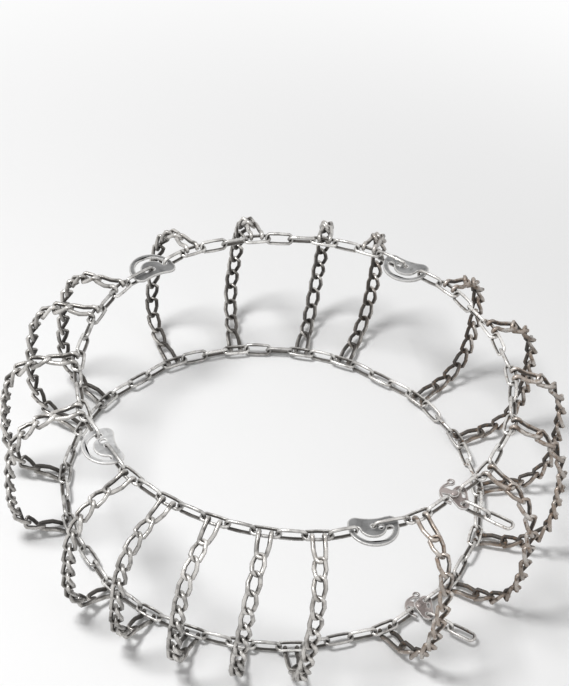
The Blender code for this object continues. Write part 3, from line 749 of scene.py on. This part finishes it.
def cross_places(index):
    """Matrices and stretches of one cross chain's links, and its two hooks."""
    wires = []
    for ring in (OUTER, INNER):
        middle, out, _ = ring.hooked(index)
        wires.append(middle + out * (SIDE_WIDTH - SIDE_WIRE) / 2)
    halves = (RUN[:RUN_STEPS // 2 + 1], RUN[:RUN_STEPS // 2 - 1:-1])
    starts = [read(half, RADIUS, math.hypot(wire.x, wire.y), LENGTH)
              for half, wire in zip(halves, wires)]
    bearings = [math.atan2(wire.y, wire.x) for wire in wires]
    turn = (bearings[1] - bearings[0] + math.pi) % math.tau - math.pi

    def on_run(distance):
        bearing = bearings[0] + turn * (distance - starts[0]) / (starts[1] - starts[0])
        radius, height = read(RUN, LENGTH, distance, RADIUS), read(RUN, LENGTH, distance, HEIGHT)
        return Vector((radius * math.cos(bearing), radius * math.sin(bearing), height))

    first, last = starts[0] + HOOK_LENGTH, starts[1] - HOOK_LENGTH
    joints = [on_run(first + (last - first) * step / CROSS_LINKS)
              for step in range(CROSS_LINKS + 1)]
    links, stretches = [], []
    for start, end in zip(joints, joints[1:]):
        middle = (start + end) / 2
        inside = Vector((middle.x, middle.y, 0)).normalized() * RUN_CENTRE
        links.append(frame_between(start, end, (middle - inside).normalized()))
        stretches.append((end - start).length / SIDE_PITCH)
    hooks = [hook_matrix(OUTER, index, wires[0], joints[0]),
             hook_matrix(INNER, index, wires[1], joints[-1])]
    return links, stretches, hooks


print("stretch of the first cross chain's links:", [round(pull, 3) for pull in cross_places(0)[1]])

# %% [markdown]
# Each end of a cross chain has an open hook: a hairpin of the same wire whose two prongs
# curl over the side chain and down inside it. Only one is made, so a curve with a round
# bevel is simpler here than a node tree: a closed bend, two straight prongs and two curls.
# The tips are cut and slightly rounded, so the last points have a smaller radius.

# %% The hook
HOOK_SPREAD = 0.0113
HOOK_CURL = math.radians(40.0), math.radians(205.0)
HOOK_BEND = (0.0002, 0.0030), (0.0026, 0.0070), (0.0080, 0.0089), (0.0170, 0.0102)
HOOK_SHOULDER = 0.0290
HOOK_PLAY = 0.0002        # between the hook's wire and the side chain's
CURL_STEPS = 8
TIP_TAPER = 0.72


def hook_points():
    first, last = HOOK_CURL
    curl = (SIDE_WIRE + CROSS_WIRE) / 2 + HOOK_PLAY
    end = HOOK_LENGTH + CROSS_WIRE / 2
    prong = [(end - back, half, 0) for back, half in HOOK_BEND]
    prong.append((end - HOOK_SHOULDER, HOOK_SPREAD, 0))
    for step in range(CURL_STEPS + 1):
        angle = first + (last - first) * step / CURL_STEPS
        prong.append((curl * math.cos(angle), HOOK_SPREAD, curl * math.sin(angle)))
    return prong[::-1] + [(x, -y, z) for x, y, z in prong]


def curve_of(name, loops, closed, dimensions):
    """A curve through straight-line loops of points."""
    curve = bpy.data.curves.new(name, "CURVE")
    curve.dimensions = dimensions
    for loop in loops:
        spline = curve.splines.new("POLY")
        spline.points.add(len(loop) - 1)
        spline.use_cyclic_u = closed
        for point, place in zip(spline.points, loop):
            point.co = (*place, 1)
    return curve


def welded(name, curve):
    """A curve's mesh and bmesh, with the caps, which come loose, joined to the sides."""
    source = new_object(name, curve)
    mesh = plain_mesh(source)
    bpy.data.objects.remove(source)
    work = bmesh.new()
    work.from_mesh(mesh)
    bmesh.ops.remove_doubles(work, verts=work.verts, dist=1e-6)
    return mesh, work


def wire_mesh(name, points, wire, taper):
    """A round wire along points, as a mesh, with tapered tips."""
    curve = curve_of(name, [points], False, "3D")
    curve.bevel_depth = wire / 2
    curve.bevel_resolution = 2
    curve.use_fill_caps = True
    spline = curve.splines[0]
    for tip in (spline.points[0], spline.points[-1]):
        tip.radius = taper
    spline.use_smooth = True
    mesh, work = welded(name, curve)
    work.to_mesh(mesh)
    work.free()
    mesh.set_sharp_from_angle(angle=math.radians(50))
    return mesh


hook = new_object("hook_shape", wire_mesh("hook", hook_points(), CROSS_WIRE, TIP_TAPER))
# Painted shade, as on the links: high inside the hook and on its side towards the tyre, low
# outside, where the crests are painted pale.
shelter = hook.data.attributes.new("shelter", "FLOAT", "POINT")
for number, vertex in enumerate(hook.data.vertices):
    inwards = (Vector((HOOK_LENGTH / 2, 0, 0)) - vertex.co).normalized()
    facing = inwards.dot(vertex.normal)
    shelter.data[number].value = 0.5 + 0.5 * facing - CROSS_UNDERSIDE_SHADE * vertex.normal.z
print("faces in a hook:", len(hook.data.polygons))

# %% Lay the cross chains
for index in range(len(SPANS)):
    links, stretches, hooks = cross_places(index)
    piece = lay(f"cross_length_{index + 1:02d}", cross_link, links, CROSS_STEEL,
                stretches, hook, hooks)
    keep(piece, "chain", "cross_chain_steel", f"cross_chain_{index + 1:02d}")
print("cross chains:", len(SPANS))

# %% [markdown]
# ## Plates
#
# Cams and fasteners are cut from plate. A Boolean would leave ragged faces round the holes;
# a filled 2D curve with an extrusion is the plate at once, with its holes as further loops,
# and a small bevel rounds its edges, as blanking and galvanising do. The flat faces are
# then inset, so that the pale rim, which is worn and also a painted highlight, can fade from
# the edges inwards.

# %% Arcs, holes and plates
FINE = math.radians(9.0)


def polar(centre, radius, angle):
    return centre[0] + radius * math.cos(angle), centre[1] + radius * math.sin(angle)


def arc(centre, radius, start, end, step=FINE):
    count = max(1, math.ceil(abs(end - start) / step))
    angles = [start + (end - start) * index / count for index in range(count + 1)]
    return [Vector((*polar(centre, radius, angle), 0)) for angle in angles]


def circle(centre, radius):
    return arc(centre, radius, 0, math.tau - 2 * FINE, 2 * FINE)


def long_hole(centre, length, width, angle):
    reach = (length - width) / 2
    ends = []
    for turn in (0, math.pi):
        way = angle + turn
        ends += arc(polar(centre, reach, way), width / 2, way - math.pi / 2, way + math.pi / 2,
                    2 * FINE)
    return ends


def plate(name, outline, holes, thickness, matrix, metal,
          edge=0.0006, rim=0.0011, height=0.0, lift=0.0):
    """A plate with rounded edges, in its place. `rim` is 1 on them and fades inwards; it marks edge
    wear and a painted highlight.
    """
    curve = curve_of(name, [outline] + holes, True, "2D")
    curve.fill_mode = "BOTH"
    curve.extrude = thickness / 2 - edge
    curve.bevel_depth = edge
    curve.bevel_resolution = 1
    curve.offset = -edge
    mesh, work = welded(name + "_curve", curve)
    flats = [face for face in work.faces if abs(face.normal.z) > 0.999]
    bmesh.ops.inset_region(work, faces=flats, thickness=rim, use_even_offset=True)
    # The rims are worn and also painted pale as a highlight.
    rim_wear_and_highlight = work.verts.layers.float.new("rim")
    lighter = work.verts.layers.float.new("lift")
    inside = {vertex for face in flats for vertex in face.verts}
    for vertex in work.verts:
        vertex[rim_wear_and_highlight] = float(vertex not in inside)
        vertex[lighter] = lift
    work.to_mesh(mesh)
    work.free()
    mesh.transform(matrix @ Matrix.Translation((0, 0, height)))
    mesh.materials.clear()
    mesh.materials.append(metal)
    mesh.shade_smooth()
    mesh.set_sharp_from_angle(angle=math.radians(40))
    return new_object(name, mesh)


print("points in a full circle:", len(circle((0, 0), 1)))

# %% [markdown]
# ## Cam tensioners
#
# A cam turns about the link in its round hole. Its crescent slot carries the other link,
# and the slanted key hole takes the key that winds it tight. The edge runs round a half
# ring and two lobes, with a waist between the lobes.

# %% The outline of a cam and its slot
CAM_PLATE = 0.0050
CAM_RADIUS = 0.0470
CAM_TAKE_UP = 0.0011      # from the round hole to the slot's middle
CAM_SLOT = math.radians(10.0), math.radians(170.0)
CAM_SLOT_HALF = 0.0055
CAM_HOLE = 0.0045
CAM_LOBE_RADIUS = 0.0155
CAM_LOBE_LIFT = 0.0085
CAM_LOBE_TURN = math.radians(110.0)
CAM_NECK = 0.0190
WAIST_STEPS = 12


def cam_outline():
    lobe_x = CAM_RADIUS - CAM_LOBE_RADIUS
    edge = arc((0, 0), CAM_RADIUS, 0, math.pi, FINE / 2)
    left = arc((-lobe_x, -CAM_LOBE_LIFT), CAM_LOBE_RADIUS, math.pi, math.pi + CAM_LOBE_TURN)
    right = arc((lobe_x, -CAM_LOBE_LIFT), CAM_LOBE_RADIUS, math.tau - CAM_LOBE_TURN, math.tau)
    start, end = left[-1], right[0]
    waist = []
    for step in range(1, WAIST_STEPS):
        share = 2 * step / WAIST_STEPS - 1
        x = start.x + (end.x - start.x) * step / WAIST_STEPS
        waist.append(Vector((x, -CAM_NECK + (start.y + CAM_NECK) * share * share, 0)))
    return edge + left + waist + right


def cam_slot():
    centre = (CAM_TAKE_UP, 0)
    start, end = CAM_SLOT

    def end_cap(angle, first):
        middle = polar(centre, REACH["cam"], angle)
        return arc(middle, CAM_SLOT_HALF, first, first + math.pi, 2 * FINE)[1:-1]

    outer = arc(centre, REACH["cam"] + CAM_SLOT_HALF, start, end)
    inner = arc(centre, REACH["cam"] - CAM_SLOT_HALF, end, start)
    return outer + end_cap(end, end) + inner + end_cap(start, start + math.pi)


print("points round a cam:", len(cam_outline()), "its slot:", len(cam_slot()))

# %% Make the cams
CAM_KEY = (-0.0140, 0.0020), 0.0120, 0.0076, math.radians(75.0)
CAM_FACES = "X", "", "Y", ""            # axis about which a cam is turned over
CAM_LIFTS = -0.05, -0.32, 0.60, -0.30   # each cam's colour is scaled by its own amount; the third is much paler
CAM_EDGE = 0.0010
CAM_RIM = 0.0023


def cam_matrix(index, face):
    """Place of a cam: one end of its slot is at the caught link, whichever way up it lies."""
    turned_over = Matrix.Rotation(math.pi, 4, face) if face else Matrix()
    end = CAM_SLOT[1] if face == "Y" else CAM_SLOT[0]
    caught = turned_over @ Vector((math.cos(end), math.sin(end), 0))
    turn_back = Matrix.Rotation(-math.atan2(caught.y, caught.x), 4, "Z")
    return OUTER.connector(index) @ turn_back @ turned_over


for number, (index, face, lift) in enumerate(zip(CAM_SPANS, CAM_FACES, CAM_LIFTS), 1):
    holes = [circle((0, 0), CAM_HOLE), cam_slot(), long_hole(*CAM_KEY)]
    piece = plate(f"cam_{number}_plate", cam_outline(), holes, CAM_PLATE, cam_matrix(index, face),
                  CAM_ZINC, edge=CAM_EDGE, rim=CAM_RIM, lift=lift)
    keep(piece, f"cam_{number}", "cam_zinc", f"tensioner_cam_{number}")
print("cams:", len(CAM_SPANS))

# %% [markdown]
# ## Lever fasteners
#
# The plate hangs on one end of the ring. The lever turns on the rivet: its curved finger
# goes through the last link and the handle folds back, so that the chain's own pull keeps
# it shut. Two spare links trail from the plate's eye. The plate's outline is a belt round
# three circles, and the turned rivet is a profile spun by a Screw modifier.

# %% The fastener's plate
FASTENER_PLATE = 0.0042
LAYER_GAP = 0.0003
RIVET_PLACE = 0.0170
LEVER_HUB = 0.0090
HUB_RIM = 0.0015          # how far the plate reaches past the lever's hub
EYE_WALL = 0.0080
TAIL_HOLE = Vector((0.0215, 0.0270, 0.0))
LOCK_SLOT = (0.0045, 0.0125), 0.0120, 0.0050, math.radians(50.0)


def belt(rounds):
    """Outline that runs round several circles as a belt does, anticlockwise."""
    normals = []
    for number, (centre, radius) in enumerate(rounds):
        ahead, ahead_radius = rounds[(number + 1) % len(rounds)]
        way = Vector((ahead[0] - centre[0], ahead[1] - centre[1], 0))
        normals.append(math.atan2(way.y, way.x) - math.acos((radius - ahead_radius) / way.length))
    outline = []
    for number, (centre, radius) in enumerate(rounds):
        start, end = normals[number - 1], normals[number]
        outline += arc(centre, radius, start, start + (end - start) % math.tau)
    return outline


def lock_plate():
    eye = CAM_HOLE + EYE_WALL
    outline = belt([((0, 0), eye), ((RIVET_PLACE, 0), LEVER_HUB + HUB_RIM), (TAIL_HOLE, eye)])
    return outline, [circle((0, 0), CAM_HOLE), circle(TAIL_HOLE, CAM_HOLE), long_hole(*LOCK_SLOT)]


print("points round a fastener's plate:", len(lock_plate()[0]))

# %% The lever and the rivet
LEVER_BAND = 0.0061
LEVER_INNER = 0.0225
LEVER_TIP = math.radians(32.0)
LEVER_ARM = math.radians(-62.0)
LEVER_END = math.radians(-125.0)
LEVER_HANDLE = 0.0296
LEVER_EYE = 0.0080
LEVER_HOLE = 0.0038
ARM_SPREAD = math.radians(22.0)   # half the arm's width at the finger, as an angle
HUB_SPREAD = math.radians(45.0)   # and at the hub
EYE_START = math.radians(6.0)     # where the eye leaves the band's inner edge
EYE_END = math.radians(15.7)      # and where it meets the outer one
EYE_TURN = math.radians(465.0)
RIVET_RADIUS, RIVET_HEAD, RIVET_RISE, RIVET_SEAT = 0.0035, 0.0062, 0.0017, 0.0001
RIVET_SIDES = 24


def lever_outline():
    """A hub, an arm, and a curved finger from the handle's eye to its tip."""
    centre = (RIVET_PLACE, 0)
    eye = polar(centre, LEVER_HANDLE, LEVER_END)
    outline = arc(centre, LEVER_INNER + LEVER_BAND, LEVER_END + EYE_END, LEVER_TIP)
    outline += arc(centre, LEVER_INNER, LEVER_TIP, LEVER_ARM + ARM_SPREAD)
    outline += arc(centre, LEVER_HUB, LEVER_ARM + HUB_SPREAD, LEVER_ARM + math.tau - HUB_SPREAD)
    outline += arc(centre, LEVER_INNER, LEVER_ARM - ARM_SPREAD, LEVER_END + EYE_START)
    outline += arc(eye, LEVER_EYE, LEVER_END + math.pi, LEVER_END + EYE_TURN)[1:-1]
    return outline, [circle(centre, LEVER_HOLE), circle(eye, LEVER_HOLE)]


def rivet(name, place):
    """A turned rivet with domed heads."""
    grip = FASTENER_PLATE + LAYER_GAP
    dome = [(RIVET_HEAD * math.sin(angle), grip + RIVET_RISE * math.cos(angle))
            for angle in map(math.radians, range(15, 91, 15))]
    profile = [(0.0, grip + RIVET_RISE)] + dome + [(RIVET_RADIUS, grip + RIVET_SEAT)]
    profile += [(x, -z) for x, z in reversed(profile)]
    mesh = bpy.data.meshes.new(name)
    mesh.from_pydata([(x, 0, z) for x, z in profile],
                     [(number, number + 1) for number in range(len(profile) - 1)], [])
    obj = new_object(name, mesh)
    screw = obj.modifiers.new("turn", "SCREW")
    screw.steps = RIVET_SIDES
    screw.render_steps = RIVET_SIDES
    screw.use_merge_vertices = True
    screw.merge_threshold = 1e-5
    made = plain_mesh(obj)
    obj.modifiers.clear()
    made.transform(Matrix.Translation(place))
    made.materials.append(FASTENER_ZINC)
    made.shade_smooth()
    obj.data = made
    return obj


print("points round a lever:", len(lever_outline()[0]))

# %% Make the fasteners
TAIL_ANGLE = math.radians(105.0)


def lock_piece(name, shape, matrix, height, body, node):
    outline, holes = shape
    piece = plate(name, outline, holes, FASTENER_PLATE, matrix, FASTENER_ZINC, height=height)
    keep(piece, body, "fastener_zinc", node)


for prefix, ring in (("outer", OUTER), ("inner", INNER)):
    matrix = ring.connector(FASTENER_SPAN)
    height = (FASTENER_PLATE + LAYER_GAP) / 2 * ring.side
    lock_piece(f"{prefix}_lock_plate", lock_plate(), matrix, -height,
               "chain", f"{prefix}_fastener_plate")
    lock_piece(f"{prefix}_lock_lever", lever_outline(), matrix, height,
               f"{prefix}_lever", f"{prefix}_fastener_lever")
    piece = rivet(f"{prefix}_lock_rivet", matrix @ Vector((RIVET_PLACE, 0, 0)))
    keep(piece, "chain", "fastener_zinc", f"{prefix}_fastener_rivet")
    way = matrix.to_3x3() @ Vector((math.cos(TAIL_ANGLE), math.sin(TAIL_ANGLE), 0))
    start = matrix @ TAIL_HOLE + way * BAR_PLACE
    middle, end = start + way * SIDE_PITCH, start + way * SIDE_PITCH * 2
    bars = frame_between(start, middle, UP) @ ON_EDGE, frame_between(middle, end, UP)
    for number, bar in enumerate(bars, 1):
        side_piece(f"{prefix}_spare_bar_{number}", spare_link, [bar],
                   f"{prefix}_spare_link_{number}", f"{prefix}_spare_{number}")
for shape in (side_link, long_link, spare_link, cross_link, hook):
    bpy.data.objects.remove(shape)

# %% [markdown]
# ## Floor, light and camera
#
# A pale floor under the inner ring takes the shadow. The world is white where a camera or
# a reflection sees it and plain grey as a light, so the metal mirrors a bright studio
# without being washed out. Further out, where the lamps fade, the floor turns white in the
# same way. One large lamp stands high at the left and a weaker one at the right.

# %% Floor and world
FLOOR_HEIGHT = CAD_BOX[0][2] - 0.001
FLOOR_REACH = 12.0
FLOOR_GREY = 0.86, 0.86, 0.86
WHITE = 1.0, 1.0, 1.0
WHITE_FROM, WHITE_TO = 0.8, 2.2   # how far out the floor turns white
WORLD_LIGHT = 0.36, 0.36, 0.36


def seen_rays(tree):
    """1 for what the camera, a reflection or a see-through piece shows, and 0 for light."""
    rays = add(tree, "ShaderNodeLightPath")
    mirrored = rays.math("MAXIMUM", more(rays, "Is Glossy Ray"))
    return mirrored.math("MAXIMUM", more(rays, "Is Transmission Ray"))


def floor_material():
    material = bpy.data.materials.new("pale_floor")
    material.use_nodes = True
    tree = material.node_tree
    shader = tree.nodes["Principled BSDF"]
    shader.inputs["Base Color"].default_value = (*FLOOR_GREY, 1)
    shader.inputs["Roughness"].default_value = 0.9
    where = add(tree, "ShaderNodeTexCoord", None, None, "Object")
    away = add(tree, "ShaderNodeVectorMath", {"operation": "LENGTH"}, {0: where}, "Value")
    white = add(tree, "ShaderNodeEmission", None, {"Color": (*WHITE, 1)})
    share = between(tree, away, WHITE_FROM, WHITE_TO) * seen_rays(tree)
    both = add(tree, "ShaderNodeMixShader", None,
               {0: share, 1: Field(tree, shader.outputs[0]), 2: white})
    connect(tree, both, tree.nodes["Material Output"].inputs["Surface"])
    return material


floor = bpy.data.meshes.new("floor")
corners = (-1, -1), (1, -1), (1, 1), (-1, 1)
floor.from_pydata([(x * FLOOR_REACH, y * FLOOR_REACH, FLOOR_HEIGHT) for x, y in corners],
                  [], [(0, 1, 2, 3)])
floor.materials.append(floor_material())
new_object("floor", floor)

world = bpy.data.worlds.new("studio")
bpy.context.scene.world = world
world.use_nodes = True
backdrop = mix(world.node_tree, seen_rays(world.node_tree), WORLD_LIGHT, WHITE)
connect(world.node_tree, backdrop, world.node_tree.nodes["Background"].inputs["Color"])
print("floor at", round(1000 * FLOOR_HEIGHT), "mm")

# %% Lamps
def lamp(name, place, size, power):
    data = bpy.data.lights.new(name, "AREA")
    data.size = size
    data.energy = power
    obj = new_object(name, data)
    obj.location = place
    obj.rotation_euler = (-Vector(place)).to_track_quat("-Z", "Y").to_euler()


lamp("key", (-1.6, -0.4, 3.8), size=1.1, power=135)
lamp("fill", (2.8, -2.4, 2.6), size=3.0, power=20)
bpy.context.scene.view_settings.view_transform = "Standard"
print("lamps:", [light.name for light in bpy.data.lights])

# %% [markdown]
# The camera stands in front and above, as one looks down at a wheel that lies on the floor,
# and leans a few degrees. A long lens keeps the rings nearly true ellipses.

# %% Camera
LOOK_DOWN = math.radians(41.43)
LEAN = math.radians(5.31)
camera_data = bpy.data.cameras.new("camera")
camera_data.sensor_width = 36.0
camera_data.lens = 115.4
camera = new_object("camera", camera_data)
bpy.context.scene.camera = camera
look = Vector((0, math.cos(LOOK_DOWN), -math.sin(LOOK_DOWN))).to_track_quat("-Z", "Y")
camera.rotation_mode = "QUATERNION"
camera.rotation_quaternion = look @ Matrix.Rotation(LEAN, 3, "Z").to_quaternion()
camera.location = (-0.016, -3.142, 3.009)
print("camera at", camera.location[:])
